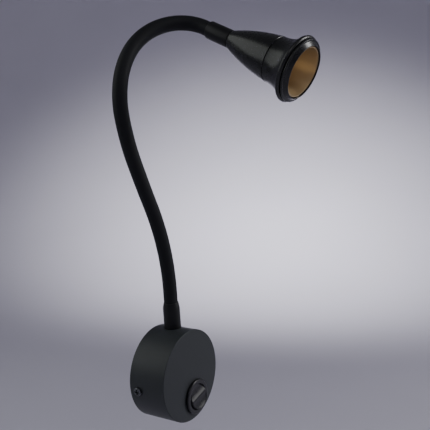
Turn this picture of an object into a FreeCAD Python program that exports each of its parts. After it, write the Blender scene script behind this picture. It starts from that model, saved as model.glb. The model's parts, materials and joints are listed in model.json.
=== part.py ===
"""Bedside wall reading lamp: a round wall box, a gooseneck and a bell-shaped spot head.

Frame: millimetres, +Z up, the wall is the plane Y = 0 and the lamp stands out towards -Y.
The origin is the middle of the wall box's back, where the supply cable comes in.
"""
import FreeCAD
import Part
import math
import os
import re

import Sketcher
from FreeCAD import Placement, Rotation, Vector

doc = FreeCAD.newDocument("reading_lamp")

# ---------------------------------------------------------------------------------------
# Driving dimensions: millimetres, degrees or counts
# ---------------------------------------------------------------------------------------
SIZES = {
    "drum_dia": 60.0,
    "drum_depth": 26.5,
    "drum_wall": 1.6,
    "drum_face": 2.0,
    "drum_edge": 0.8,
    "plate_thick": 1.5,
    "plate_gap": 0.4,
    "wall_slot_spacing": 34.0,
    "wall_slot_width": 4.4,
    "wall_slot_long": 9.0,
    "cable_hole_dia": 10.0,
    "grommet_bore": 7.0,
    "grommet_flange_wide": 1.5,
    "grommet_flange_thick": 1.4,
    "ear_wide": 9.0,
    "ear_tall": 11.0,
    "ear_inset": 0.8,
    "side_screw_lift": 6.5,
    "side_screw_angle": 10.4,
    "screw_dia": 3.0,
    "screw_head_dia": 5.6,
    "screw_head_tall": 1.8,
    "screw_long": 7.5,
    "cross_slot_wide": 0.7,
    "cross_slot_deep": 0.9,
    "hole_slack": 0.2,
    "snug": 0.05,
    "earth_screw_x": 15.0,
    "earth_screw_y": -14.0,
    "block_wide": 17.0,
    "block_tall": 9.0,
    "block_deep": 9.0,
    "block_gap": 1.0,
    "pole_pitch": 10.0,
    "wire_hole_dia": 3.0,
    "wire_hole_lift": 3.0,
    "clamp_pitch": 4.8,
    "clamp_dia": 2.8,
    "clamp_long": 3.5,
    "clamp_sink": 0.6,
    "driver_wide": 36.0,
    "driver_tall": 20.0,
    "driver_deep": 10.0,
    "driver_gap": 1.8,
    "driver_corner": 1.5,
    "switch_reach": 16.2,
    "switch_turn": 19.5,
    "bezel_dia": 23.0,
    "bezel_thick": 2.0,
    "bezel_round": 1.2,
    "barrel_dia": 19.8,
    "barrel_deep": 14.0,
    "well_dia": 17.0,
    "well_deep": 7.0,
    "blade_wide": 4.8,
    "blade_thick": 0.8,
    "blade_long": 7.5,
    "blade_pitch": 8.0,
    "rocker_gap": 0.25,
    "rocker_rise": 2.8,
    "rocker_under": 2.6,
    "rocker_tilt": 12.0,
    "rocker_sink": 1.8,
    "dish_radius": 13.0,
    "dish_deep": 0.55,
    "rocker_pin_dia": 2.0,
    "rocker_pin_bite": 0.7,
    "neck_from_wall": 12.0,
    "neck_dia": 9.0,
    "core_dia": 7.0,
    "bore_dia": 3.4,
    "lead_dia": 2.8,
    "ball_gap": 0.3,
    "thread_dia": 8.0,
    "thread_bore": 4.0,
    "thread_inside": 10.0,
    "thread_outside": 1.0,
    "nut_flats": 13.0,
    "nut_thick": 4.0,
    "neck_start": 1.6,
    "foot_run": 24.0,
    "long_half": 15.0,
    "short_half": 10.0,
    "head_run": 18.0,
    "low_sleeve_wall": 0.95,
    "low_sleeve_tuck": 1.5,
    "top_sleeve_wall": 0.9,
    "sleeve_clear": 3.0,
    "sleeve_lip": 0.5,
    "head_thread_back": 4.0,
    "head_thread_in": 6.5,
    "cone_back_rim": 0.1,
    "cone_back_chamfer": 0.5,
    "cone_long": 36.0,
    "seam_radius": 13.9,
    "cone_bulge": 190.0,
    "cone_collar_long": 6.0,
    "cone_thread_wall": 0.7,
    "spigot_deep": 5.0,
    "spigot_inset": 1.9,
    "spigot_wall": 1.2,
    "sink_pocket": 6.6,
    "sink_inset": 1.1,
    "sink_rim": 1.1,
    "sink_base": 3.0,
    "fin_long": 11.4,
    "fin_clear": 0.5,
    "fin_end_radius": 5.2,
    "sink_core_radius": 3.6,
    "sink_gap_wide": 1.2,
    "sink_gaps": 10,
    "seam_gap": 0.35,
    "bell_flare": 22.0,
    "bell_long": 13.25,
    "bell_wall": 1.3,
    "bell_end_radius": 18.2,
    "bead_rim": 0.6,
    "bead_long": 2.6,
    "bead_rise": 1.1,
    "groove_deep": 0.3,
    "groove_long": 0.5,
    "ring_proud": 0.8,
    "ring_long": 1.2,
    "lip_inset": 0.3,
    "lip_long": 2.1,
    "lip_taper": 1.7,
    "lip_wall": 1.04,
    "mouth_wall": 0.5,
    "mouth_collar": 0.8,
    "board_inset": 0.5,
    "board_thick": 1.6,
    "chip_radius": 4.5,
    "chip_thick": 1.0,
    "board_screw_edge": 0.15,
    "board_screw_dia": 2.0,
    "board_screw_head_dia": 3.3,
    "board_screw_head_tall": 1.2,
    "board_screw_long": 4.0,
    "reflector_screw_gap": 0.25,
    "reflector_thick": 0.7,
    "reflector_collar": 1.5,
    "reflector_mouth_gap": 0.4,
    "reflector_bulge": 97.0,
}

# The pose of the gooseneck. Each row is the direction of the neck at one joint: degrees
# forward from upright, then degrees to the right, from the foot up to the head.
NECK_POSE = [
    (-1, -5),
    (-1, -18),
    (-2, -29),
    (-5, -24),
    (-2, -13),
    (-1, 11),
    (6, 34),
    (35, 49),
    (79, 50),
    (115, 0),
]
LONG_BENDS = 4

# Places that follow from the sizes, as formulas over the sheet. In the wall box:
BLOCK_UP = "(cable_hole_dia / 2 + grommet_flange_wide + block_gap + block_tall / 2)"
BLOCK_SEAT = "(block_deep - screw_head_tall - clamp_sink)"
SWITCH_RIGHT = "(switch_reach * sin(switch_turn))"
SWITCH_DOWN = "(switch_reach * cos(switch_turn))"
DRIVER_UP = f"(driver_tall / 2 + driver_gap + barrel_dia / 2 - {SWITCH_DOWN})"
# on the neck:
SLEEVE_BORE = "(neck_dia / 2 + snug * 2)"
LOW_SLEEVE_LONG = "(foot_run - sleeve_clear)"
TOP_SLEEVE_LONG = "(head_run - sleeve_clear)"
# along the head, from its joint with the neck to its mouth:
SPIGOT_START = "(cone_long - spigot_deep)"
SINK_SEAT = f"({SPIGOT_START} - sink_pocket)"
FIN_END = f"({SINK_SEAT} - fin_long)"
BOARD_BACK = f"({SINK_SEAT} + sink_base)"
BOARD_FACE = f"({BOARD_BACK} + board_thick)"
BELL_START = "(cone_long + seam_gap)"
BELL_END = f"({BELL_START} + bell_long)"
BEAD_END = f"({BELL_END} + bead_long)"
RING_START = f"({BEAD_END} + groove_long)"
RING_END = f"({RING_START} + ring_long)"
LIP_END = f"({RING_END} + lip_long)"
# and across the head:
CONE_BACK_RADIUS = f"({SLEEVE_BORE} + top_sleeve_wall + cone_back_rim)"
HOLLOW_START_RADIUS = "(thread_dia / 2 + cone_thread_wall)"
SPIGOT_RADIUS = "(seam_radius - spigot_inset)"
SINK_RADIUS = f"({SPIGOT_RADIUS} - sink_inset)"
HOLLOW_END_RADIUS = f"({SINK_RADIUS} - sink_rim)"
BOARD_RADIUS = f"({SINK_RADIUS} - board_inset)"
BOARD_SCREW_RING = f"({BOARD_RADIUS} - board_screw_head_dia / 2 - board_screw_edge)"
REFLECTOR_BACK = f"({BOARD_SCREW_RING} - board_screw_head_dia / 2 - reflector_screw_gap)"
BEAD_FOOT_RADIUS = "(bell_end_radius + bead_rim)"
GROOVE_RADIUS = "(bell_end_radius - groove_deep)"
LIP_START_RADIUS = f"({GROOVE_RADIUS} - lip_inset)"
LIP_END_RADIUS = f"({LIP_START_RADIUS} - lip_taper)"
MOUTH_RADIUS = f"({LIP_END_RADIUS} - mouth_wall)"
REFLECTOR_RADIUS = f"({MOUTH_RADIUS} - reflector_mouth_gap)"

sheet = doc.addObject("Spreadsheet::Sheet", "Sizes")
for row, (alias, number) in enumerate(SIZES.items(), start=1):
    sheet.set(f"A{row}", alias)
    sheet.set(f"B{row}", str(number))
    sheet.setAlias(f"B{row}", alias)
doc.recompute()

X = Vector(1, 0, 0)
Y = Vector(0, 1, 0)
Z = Vector(0, 0, 1)
HERE = Placement()

# Wall box parts are drawn as seen on the wall: x to the right, y up, z out of the wall.
WALL_FRAME = Placement(Vector(), Rotation(X, 90))


# ---------------------------------------------------------------------------------------
# Makers
# ---------------------------------------------------------------------------------------
def tied(formula):
    """The formula with every name of the sheet pointed at its cell."""
    def cell(word):
        return f"Sizes.{word.group()}" if word.group() in SIZES else word.group()

    return re.sub(r"[a-z_]+", cell, formula)


def worth(formula):
    """The number that a formula over the sheet gives now."""
    sheet.set("D1", "=" + formula)
    sheet.recompute()
    return float(sheet.get("D1"))


def bind(thing, **formulas):
    for name, formula in formulas.items():
        thing.setExpression(name, tied(formula))


def aimed(at, direction):
    """The placement that puts the local z axis on a direction, from a point."""
    return Placement(at, Rotation(Z, direction))


def cylinder(name, radius, height, where):
    rod = doc.addObject("Part::Cylinder", name)
    bind(rod, Radius=radius, Height=height)
    rod.Placement = where
    return rod


def ball(name, radius, where, half=False):
    sphere = doc.addObject("Part::Sphere", name)
    bind(sphere, Radius=radius)
    if half:
        sphere.Angle1 = 0
    sphere.Placement = where
    return sphere


def block(name, wide, deep, tall, where):
    """A box with its middle on the local z axis, standing on the local z = 0."""
    box = doc.addObject("Part::Box", name)
    bind(box, Length=wide, Width=deep, Height=tall)
    corner = Vector(-worth(wide) / 2, -worth(deep) / 2, 0)
    box.Placement = where.multiply(Placement(corner, Rotation()))
    return box


def joined(name, pieces):
    fuse = doc.addObject("Part::MultiFuse", name)
    fuse.Shapes = pieces
    return fuse


def less(name, base, *tools):
    """The base with the tools cut away."""
    cut = doc.addObject("Part::Cut", name)
    cut.Base = base
    cut.Tool = tools[0] if len(tools) == 1 else joined(name + "_tools", list(tools))
    return cut


def plane_of(body, role):
    return next(f for f in body.Origin.OriginFeatures if f.Role == role)


def new_body(name, where):
    body = doc.addObject("PartDesign::Body", name)
    body.Placement = where
    return body


def new_sketch(body, name, role="XY_Plane", lift=None):
    """A sketch on one of the body's own planes, lifted along its normal by a formula."""
    sketch = body.newObject("Sketcher::SketchObject", name)
    sketch.AttachmentSupport = [(plane_of(body, role), "")]
    sketch.MapMode = "FlatFace"
    if lift:
        bind(sketch, **{".AttachmentOffset.Base.z": lift})
    return sketch


def pin_point(sketch, geometry, end, across, up):
    """Fix one point of a sketch at two formulas, or on an axis where one is 0."""
    for kind, formula, axis in (("DistanceX", across, -2), ("DistanceY", up, -1)):
        if formula == "0":
            sketch.addConstraint(Sketcher.Constraint("PointOnObject", geometry, end, axis))
            continue
        distance = Sketcher.Constraint(kind, -1, 1, geometry, end, worth(formula))
        label = f"{kind}_{geometry}_{end}"
        sketch.renameConstraint(sketch.addConstraint(distance), label)
        bind(sketch, **{f"Constraints.{label}": formula})


def circle(sketch, radius, across="0", up="0"):
    middle = Vector(worth(across), worth(up), 0)
    index = sketch.addGeometry(Part.Circle(middle, Z, worth(radius)), False)
    pin_point(sketch, index, 3, across, up)
    limit = Sketcher.Constraint("Radius", index, worth(radius))
    label = f"Radius_{index}"
    sketch.renameConstraint(sketch.addConstraint(limit), label)
    bind(sketch, **{f"Constraints.{label}": radius})


def outline(sketch, points, arcs=None):
    """A closed outline through points, given as pairs of formulas.

    arcs gives, for the edge that leaves a point, its radius as a formula and on which
    side of the way from this point to the next its middle lies: +1 left, -1 right.
    """
    arcs = arcs or {}
    spots = [Vector(worth(across), worth(up), 0) for across, up in points]
    ends = []
    for index, start in enumerate(spots):
        finish = spots[(index + 1) % len(spots)]
        if index not in arcs:
            sketch.addGeometry(Part.LineSegment(start, finish), False)
            ends.append((1, 2))
            continue
        formula, side = arcs[index]
        radius = worth(formula)
        chord = finish - start
        left = Vector(-chord.y, chord.x, 0).normalize()
        rise = math.sqrt(radius**2 - (chord.Length / 2) ** 2)
        middle = (start + finish) / 2 + left * rise * side
        first, last = (start, finish) if side > 0 else (finish, start)
        angles = [math.atan2(p.y - middle.y, p.x - middle.x) for p in (first, last)]
        turn = Part.ArcOfCircle(Part.Circle(middle, Z, radius), *angles)
        sketch.addGeometry(turn, False)
        ends.append((1, 2) if side > 0 else (2, 1))
        limit = Sketcher.Constraint("Radius", index, radius)
        label = f"Radius_{index}"
        sketch.renameConstraint(sketch.addConstraint(limit), label)
        bind(sketch, **{f"Constraints.{label}": formula})
    for index, (across, up) in enumerate(points):
        before = index - 1 if index else len(points) - 1
        meet = ("Coincident", before, ends[before][1], index, ends[index][0])
        sketch.addConstraint(Sketcher.Constraint(*meet))
        pin_point(sketch, index, ends[index][0], across, up)


def turned(name, where, points, arcs=None):
    """A body turned about its local z axis from an outline of (radius, height) pairs."""
    body = new_body(name, where)
    sketch = new_sketch(body, name + "_outline", "XZ_Plane")
    outline(sketch, points, arcs)
    feature = body.newObject("PartDesign::Revolution", name + "_turned")
    feature.Profile = sketch
    feature.ReferenceAxis = (sketch, ["V_Axis"])
    feature.Angle = 360
    return body


def pad(body, sketch, name, length):
    feature = body.newObject("PartDesign::Pad", name)
    feature.Profile = sketch
    bind(feature, Length=length)
    return feature


def pocket(body, sketch, name, depth, reverse=False):
    feature = body.newObject("PartDesign::Pocket", name)
    feature.Profile = sketch
    bind(feature, Length=depth)
    feature.Reversed = reverse
    return feature


def drill(body, name, radius, depth, where):
    """A round hole in a body, along the z axis of a placement in the body's frame."""
    hole = body.newObject("PartDesign::SubtractiveCylinder", name)
    bind(hole, Radius=radius, Height=depth)
    hole.Placement = where
    return hole


def mirror(body, name, features, role):
    copy = body.newObject("PartDesign::Mirrored", name)
    copy.Originals = features
    copy.MirrorPlane = (plane_of(body, role), [""])
    body.Tip = copy
    return copy


pieces = []


def finished(thing, label):
    """Name a piece of the lamp, and list it for writing out."""
    thing.Label = label
    pieces.append(thing)


def pan_screw(name, head_radius, head_tall, radius, long, where):
    """A pan-head screw: the underside of its head is at the local z = 0, its shank below."""
    head = cylinder(name + "_head", head_radius, head_tall, where)
    shank_at = where.multiply(aimed(Vector(0, 0, -worth(long)), Z))
    shank = cylinder(name + "_shank", radius, long, shank_at)
    slot_at = Vector(0, 0, worth(f"{head_tall} - cross_slot_deep"))
    slots = [
        block(
            f"{name}_slot_{turn}",
            f"{head_radius} * 1.2",
            "cross_slot_wide",
            "cross_slot_deep * 2",
            where.multiply(Placement(slot_at, Rotation(Z, turn))),
        )
        for turn in (0, 90)
    ]
    return less(name, joined(name + "_blank", [head, shank]), *slots)


# ---------------------------------------------------------------------------------------
# Wall box
# ---------------------------------------------------------------------------------------
drum_radius = worth("drum_dia / 2")


def facing(angle):
    """The wall frame turned about the drum's axis, so that its x points along a radius."""
    return WALL_FRAME.multiply(Placement(Vector(), Rotation(Z, angle)))


# The two cover screws sit on opposite sides, a little below the drum's middle.
SCREW_RADII = {
    "right": facing(-SIZES["side_screw_angle"]),
    "left": facing(180 + SIZES["side_screw_angle"]),
}


def base_cover():
    """A deep round cap with a softened front edge, open at the wall."""
    body = new_body("base_cover", WALL_FRAME)
    disc = new_sketch(body, "cover_disc")
    circle(disc, "drum_dia / 2")
    drum = pad(body, disc, "cover_drum", "drum_depth")
    doc.recompute()
    front = SIZES["drum_depth"]
    rims = [
        f"Edge{index}"
        for index, edge in enumerate(drum.Shape.Edges, start=1)
        if edge.BoundBox.ZMin > front - SIZES["snug"]
    ]
    rim = body.newObject("PartDesign::Fillet", "cover_rim")
    rim.Base = (drum, rims)
    bind(rim, Radius="drum_edge")

    inside = new_sketch(body, "cover_inside")
    circle(inside, "drum_dia / 2 - drum_wall")
    pocket(body, inside, "cover_hollow", "drum_depth - drum_face", reverse=True)

    window = new_sketch(body, "cover_window", lift="drum_depth")
    circle(window, "barrel_dia / 2 + hole_slack", SWITCH_RIGHT, f"-{SWITCH_DOWN}")
    pocket(body, window, "cover_switch_hole", "drum_face")

    # Each round hole starts one wall's thickness inside the wall and ends as far outside it.
    drill_from = worth("drum_dia / 2 - drum_wall * 2")
    through = "drum_wall * 3"
    top = Vector(0, drill_from, SIZES["neck_from_wall"])
    drill(body, "cover_neck_hole", "thread_dia / 2 + hole_slack", through, aimed(top, Y))

    slope = math.radians(-SIZES["side_screw_angle"])
    radial = Vector(math.cos(slope), math.sin(slope), 0)
    side = radial * drill_from + Z * SIZES["side_screw_lift"]
    hole = drill(
        body, "cover_screw_hole", "screw_dia / 2 + hole_slack", through, aimed(side, radial)
    )
    mirror(body, "cover_screw_holes", [hole], "YZ_Plane")
    finished(body, "base_cover")


def wall_bracket():
    """A steel disc with two bent ears for the cover screws and two slots for the wall."""
    disc = cylinder("bracket_disc", "drum_dia / 2 - drum_wall - plate_gap", "plate_thick", WALL_FRAME)
    ear_face = worth("drum_dia / 2 - drum_wall - plate_gap - ear_inset")
    solids = [disc]
    cuts = []
    for side, frame in SCREW_RADII.items():
        middle = Placement(Vector(ear_face - SIZES["plate_thick"] / 2, 0, 0), Rotation())
        solids.append(
            block(f"ear_{side}", "plate_thick", "ear_wide", "ear_tall", frame.multiply(middle))
        )
        beyond = Placement(Vector(ear_face + SIZES["ear_inset"], 0, 0), Rotation())
        cuts.append(
            block(
                f"ear_relief_{side}",
                "ear_inset * 2",
                "ear_wide + plate_thick",
                "plate_thick",
                frame.multiply(beyond),
            )
        )
        thread_at = Vector(ear_face - 2 * SIZES["plate_thick"], 0, SIZES["side_screw_lift"])
        cuts.append(
            cylinder(
                f"ear_thread_{side}",
                "screw_dia / 2 + snug",
                "plate_thick * 3",
                frame.multiply(aimed(thread_at, X)),
            )
        )
        sign = 1 if side == "right" else -1
        slot_at = Vector(sign * SIZES["wall_slot_spacing"] / 2, 0, 0)
        cuts.append(wall_slot(f"wall_slot_{side}", WALL_FRAME.multiply(Placement(slot_at, Rotation()))))
    cuts.append(cylinder("cable_hole", "cable_hole_dia / 2", "plate_thick", WALL_FRAME))
    for name, x, y in (
        ("earth_thread", SIZES["earth_screw_x"], SIZES["earth_screw_y"]),
        ("block_thread", 0, worth(BLOCK_UP)),
    ):
        spot = WALL_FRAME.multiply(Placement(Vector(x, y, 0), Rotation()))
        cuts.append(cylinder(name, "screw_dia / 2 + snug", "plate_thick", spot))
    finished(less("wall_bracket", joined("bracket_blank", solids), *cuts), "wall_bracket")


def wall_slot(name, where):
    """A round-ended slot through the bracket, long sideways."""
    reach = worth("(wall_slot_long - wall_slot_width) / 2")
    ends = [
        cylinder(
            f"{name}_end_{index}",
            "wall_slot_width / 2",
            "plate_thick",
            where.multiply(Placement(Vector(offset, 0, 0), Rotation())),
        )
        for index, offset in enumerate((-reach, reach))
    ]
    middle = block(
        name + "_middle", "wall_slot_long - wall_slot_width", "wall_slot_width", "plate_thick", where
    )
    return joined(name, [middle, *ends])


def cable_grommet():
    """A rubber ring in the bracket's cable hole, flanged on the inner side."""
    bore = "grommet_bore / 2"
    hole = "cable_hole_dia / 2"
    top = "plate_thick + grommet_flange_thick"
    points = [
        (bore, "0"),
        (f"{hole} - snug", "0"),
        (f"{hole} - snug", "plate_thick"),
        (f"{hole} + grommet_flange_wide", "plate_thick"),
        (f"{hole} + grommet_flange_wide", top),
        (bore, top),
    ]
    finished(turned("cable_grommet", WALL_FRAME, points), "cable_grommet")


def cover_screws():
    screws = [
        pan_screw(
            f"cover_screw_{side}",
            "screw_head_dia / 2",
            "screw_head_tall",
            "screw_dia / 2",
            "screw_long",
            frame.multiply(aimed(Vector(drum_radius, 0, SIZES["side_screw_lift"]), X)),
        )
        for side, frame in SCREW_RADII.items()
    ]
    finished(joined("cover_screws", screws), "cover_screws")


def plate_screws():
    """The earth screw on the bracket, and the screw that holds the terminal block to it."""
    for name, x, y, stack in (
        ("earth_screw", SIZES["earth_screw_x"], SIZES["earth_screw_y"], "plate_thick"),
        ("block_screw", 0, worth(BLOCK_UP), f"plate_thick + {BLOCK_SEAT}"),
    ):
        seat = WALL_FRAME.multiply(Placement(Vector(x, y, worth(stack)), Rotation()))
        screw = pan_screw(
            name, "screw_head_dia / 2", "screw_head_tall", "screw_dia / 2", stack, seat
        )
        finished(screw, name)


def terminal_block():
    """A two-pole block: wires enter from below and above, a screw clamps each of the four.

    The screw that holds the block down is sunk between the poles.
    """
    floor = SIZES["plate_thick"]
    where = WALL_FRAME.multiply(Placement(Vector(0, worth(BLOCK_UP), floor), Rotation()))
    case = block("block_case", "block_wide", "block_tall", "block_deep", where)
    seat = where.multiply(Placement(Vector(0, 0, worth(BLOCK_SEAT)), Rotation()))
    cuts = [
        cylinder("block_screw_hole", "screw_dia / 2 + hole_slack", "block_deep", where),
        cylinder("block_screw_recess", "screw_head_dia / 2 + hole_slack", "block_deep", seat),
    ]
    clamps = []
    for pole in (-1, 1):
        x = pole * SIZES["pole_pitch"] / 2
        low_end = Vector(x, -SIZES["block_tall"] / 2, SIZES["wire_hole_lift"])
        wire_at = where.multiply(aimed(low_end, Y))
        cuts.append(cylinder(f"wire_hole_{pole + 1}", "wire_hole_dia / 2", "block_tall", wire_at))
        for row in (-1, 1):
            tag = f"{pole + 1}{row + 1}"
            bottom = worth("block_deep - clamp_long - clamp_sink")
            foot_at = Vector(x, row * SIZES["clamp_pitch"] / 2, bottom)
            clamp_at = where.multiply(Placement(foot_at, Rotation()))
            cuts.append(
                cylinder(
                    f"clamp_hole_{tag}", "clamp_dia / 2 + snug", "clamp_long + clamp_sink", clamp_at
                )
            )
            clamps.append(clamp_screw(tag, clamp_at))
    finished(less("terminal_block", case, *cuts), "terminal_block")
    finished(joined("clamp_screws", clamps), "clamp_screws")


def clamp_screw(tag, where):
    """A headless screw with one slot across its top."""
    rod = cylinder(f"clamp_rod_{tag}", "clamp_dia / 2", "clamp_long", where)
    top = where.multiply(Placement(Vector(0, 0, worth("clamp_long - cross_slot_deep")), Rotation()))
    slot = block(f"clamp_slot_{tag}", "clamp_dia * 1.2", "cross_slot_wide", "cross_slot_deep * 2", top)
    return less(f"clamp_screw_{tag}", rod, slot)


def led_driver():
    """The potted power supply, stuck to the inside of the cover's face."""
    back = worth("drum_depth - drum_face - driver_deep")
    where = WALL_FRAME.multiply(Placement(Vector(0, worth(DRIVER_UP), back), Rotation()))
    body = new_body("led_driver", where)
    sketch = new_sketch(body, "driver_outline")
    side, end = "driver_wide / 2", "driver_tall / 2"
    outline(sketch, [(f"-{side}", f"-{end}"), (side, f"-{end}"), (side, end), (f"-{side}", end)])
    case = pad(body, sketch, "driver_case", "driver_deep")
    doc.recompute()
    uprights = [
        f"Edge{index}"
        for index, edge in enumerate(case.Shape.Edges, start=1)
        if edge.BoundBox.ZLength > SIZES["driver_deep"] / 2
    ]
    corners = body.newObject("PartDesign::Fillet", "driver_corners")
    corners.Base = (case, uprights)
    bind(corners, Radius="driver_corner")
    finished(body, "led_driver")


# ---------------------------------------------------------------------------------------
# Rocker switch
# ---------------------------------------------------------------------------------------
# The cover is turned a little on the wall, so its switch sits to the right of the lowest
# point, and the switch's own x and y are turned with it.
SWITCH_FRAME = facing(SIZES["switch_turn"]).multiply(
    Placement(Vector(0, -SIZES["switch_reach"], 0), Rotation())
)
pivot = worth("drum_depth + bezel_thick - rocker_sink")


def switch_housing():
    """A round snap-in body with a bezel on the cover's face and a well for the rocker."""
    back = "drum_depth - barrel_deep"
    front = "drum_depth + bezel_thick"
    well_floor = f"{front} - well_deep"
    points = [
        ("0", back),
        ("barrel_dia / 2", back),
        ("barrel_dia / 2", "drum_depth"),
        ("bezel_dia / 2", "drum_depth"),
        ("bezel_dia / 2", f"{front} - bezel_round"),
        ("bezel_dia / 2 - bezel_round", front),
        ("well_dia / 2", front),
        ("well_dia / 2", well_floor),
        ("0", well_floor),
    ]
    body = turned("switch_housing", SWITCH_FRAME, points, {4: ("bezel_round", 1)})
    hole_end = worth("well_dia / 2 + rocker_pin_bite + snug")
    drill(
        body,
        "rocker_pin_sockets",
        "rocker_pin_dia / 2 + snug",
        "(well_dia / 2 + rocker_pin_bite + snug) * 2",
        aimed(Vector(-hole_end, 0, pivot), X),
    )
    finished(body, "switch_housing")


def switch_rocker():
    """A round rocker with a dished half above and below its middle ridge, and two pins."""
    tilt = Rotation(X, -SIZES["rocker_tilt"])
    where = SWITCH_FRAME.multiply(Placement(Vector(0, 0, pivot), tilt))
    cap = doc.addObject("Part::MultiCommon", "rocker_cap")
    under = Placement(Vector(0, 0, -SIZES["rocker_under"]), Rotation())
    cap.Shapes = [
        ball("rocker_ball", "well_dia / 2 - rocker_gap", where),
        block("rocker_slab", "well_dia", "well_dia", "rocker_under + rocker_rise", where.multiply(under)),
    ]
    dishes = []
    for half in (-1, 1):
        middle = Vector(
            -SIZES["well_dia"] / 2,
            half * SIZES["well_dia"] / 4,
            worth("rocker_rise + dish_radius - dish_deep"),
        )
        dish_at = where.multiply(aimed(middle, X))
        dishes.append(cylinder(f"rocker_dish_{half + 1}", "dish_radius", "well_dia", dish_at))
    pin_end = worth("well_dia / 2 + rocker_pin_bite")
    pins = cylinder(
        "rocker_pins",
        "rocker_pin_dia / 2",
        "(well_dia / 2 + rocker_pin_bite) * 2",
        where.multiply(aimed(Vector(-pin_end, 0, 0), X)),
    )
    face = less("rocker_face", cap, *dishes)
    finished(joined("switch_rocker", [face, pins]), "switch_rocker")


def switch_blades():
    """Two flat tabs behind the switch for its push-on wires."""
    start = worth("drum_depth - barrel_deep - blade_long")
    blades = [
        block(
            f"switch_blade_{side + 1}",
            "blade_thick",
            "blade_wide",
            "blade_long",
            SWITCH_FRAME.multiply(Placement(Vector(side * SIZES["blade_pitch"] / 2, 0, start), Rotation())),
        )
        for side in (-1, 1)
    ]
    finished(joined("switch_blades", blades), "switch_blades")


# ---------------------------------------------------------------------------------------
# Gooseneck
# ---------------------------------------------------------------------------------------
def heading(forward, right):
    """The direction of a line that leans forward from upright and then to the right."""
    forward, right = math.radians(forward), math.radians(right)
    level = math.cos(right)
    return Vector(math.sin(right), -level * math.sin(forward), level * math.cos(forward))


headings = [heading(*lean) for lean in NECK_POSE]
foot = Vector(0, -SIZES["neck_from_wall"], drum_radius)


def half_of(bend):
    """The name of the size that is a bend's tangent length."""
    return "long_half" if bend <= LONG_BENDS else "short_half"


# The neck bends from joint to joint: bend k starts along heading k - 1, ends along heading k.
joints = [foot + headings[0] * SIZES["foot_run"]]
for bend in range(1, len(headings)):
    both = headings[bend - 1] + headings[bend]
    joints.append(joints[-1] + both * SIZES[half_of(bend)])
head_joint = joints[-1] + headings[-1] * SIZES["head_run"]
LAST_LINK = len(headings)
HEAD_FRAME = aimed(head_joint, headings[-1])


def neck_rod(name, radius, link, end="head_run - head_thread_back"):
    """A round rod along one link's middle line: straight at the foot and head, else an arc."""
    if link == 0:
        start = foot + headings[0] * SIZES["neck_start"]
        return cylinder(name, radius, "foot_run - neck_start", aimed(start, headings[0]))
    start = joints[link - 1]
    before = headings[link - 1]
    if link == LAST_LINK:
        return cylinder(name, radius, end, aimed(start, before))
    after = headings[link]
    turn = before.getAngle(after)
    pivot_line = before.cross(after).normalize()
    inward = pivot_line.cross(before)
    ratio = 1 / math.tan(turn / 2)
    arc_radius = SIZES[half_of(link)] * ratio
    ring = doc.addObject("Part::Torus", name)
    bind(ring, Radius1=f"{half_of(link)} * {ratio}", Radius2=radius)
    ring.Angle3 = math.degrees(turn)
    spokes = Rotation(-inward, before, pivot_line, "ZXY")
    ring.Placement = Placement(start + inward * arc_radius, spokes)
    return ring


def socket(name, link):
    """The round hollow at a link's start, which turns on the ball of the link before."""
    return ball(name, "neck_dia / 2 + ball_gap", Placement(joints[link - 1], Rotation()))


def neck_link(link):
    """One link: a steel core that ends in a ball, its black skin, and the leads inside."""
    core = neck_rod(f"core_rod_{link}", "core_dia / 2", link)
    cuts = [neck_rod(f"core_bore_{link}", "bore_dia / 2", link)]
    if link < LAST_LINK:
        tip = aimed(joints[link], headings[link])
        knob = ball(f"core_ball_{link}", "neck_dia / 2", tip, half=True)
        core = joined(f"core_blank_{link}", [core, knob])
        cuts.append(cylinder(f"ball_bore_{link}", "bore_dia / 2", "neck_dia / 2", tip))
    if link > 0:
        cuts.append(socket(f"core_socket_{link}", link))
    finished(less(f"neck_core_{link}", core, *cuts), f"neck_core_{link}")

    skin = neck_rod(f"skin_rod_{link}", "neck_dia / 2", link)
    cuts = [neck_rod(f"skin_bore_{link}", "core_dia / 2 + snug", link)]
    if link > 0:
        cuts.append(socket(f"skin_socket_{link}", link))
    finished(less(f"neck_skin_{link}", skin, *cuts), f"neck_skin_{link}")

    leads = neck_rod(f"lead_rod_{link}", "lead_dia / 2", link, f"head_run + {BOARD_BACK}")
    if link == 0:
        bottom = foot - Z * worth("thread_inside")
        run_up = cylinder("lead_in_thread", "lead_dia / 2", "thread_inside", Placement(bottom, Rotation()))
        elbow = ball("lead_elbow", "lead_dia / 2", Placement(foot, Rotation()))
        step = cylinder("lead_step", "lead_dia / 2", "neck_start", aimed(foot, headings[0]))
        leads = joined("neck_leads_0", [run_up, elbow, step, leads])
    else:
        leads = less(f"neck_leads_{link}", leads, socket(f"lead_socket_{link}", link))
    finished(leads, f"neck_leads_{link}")


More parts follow.
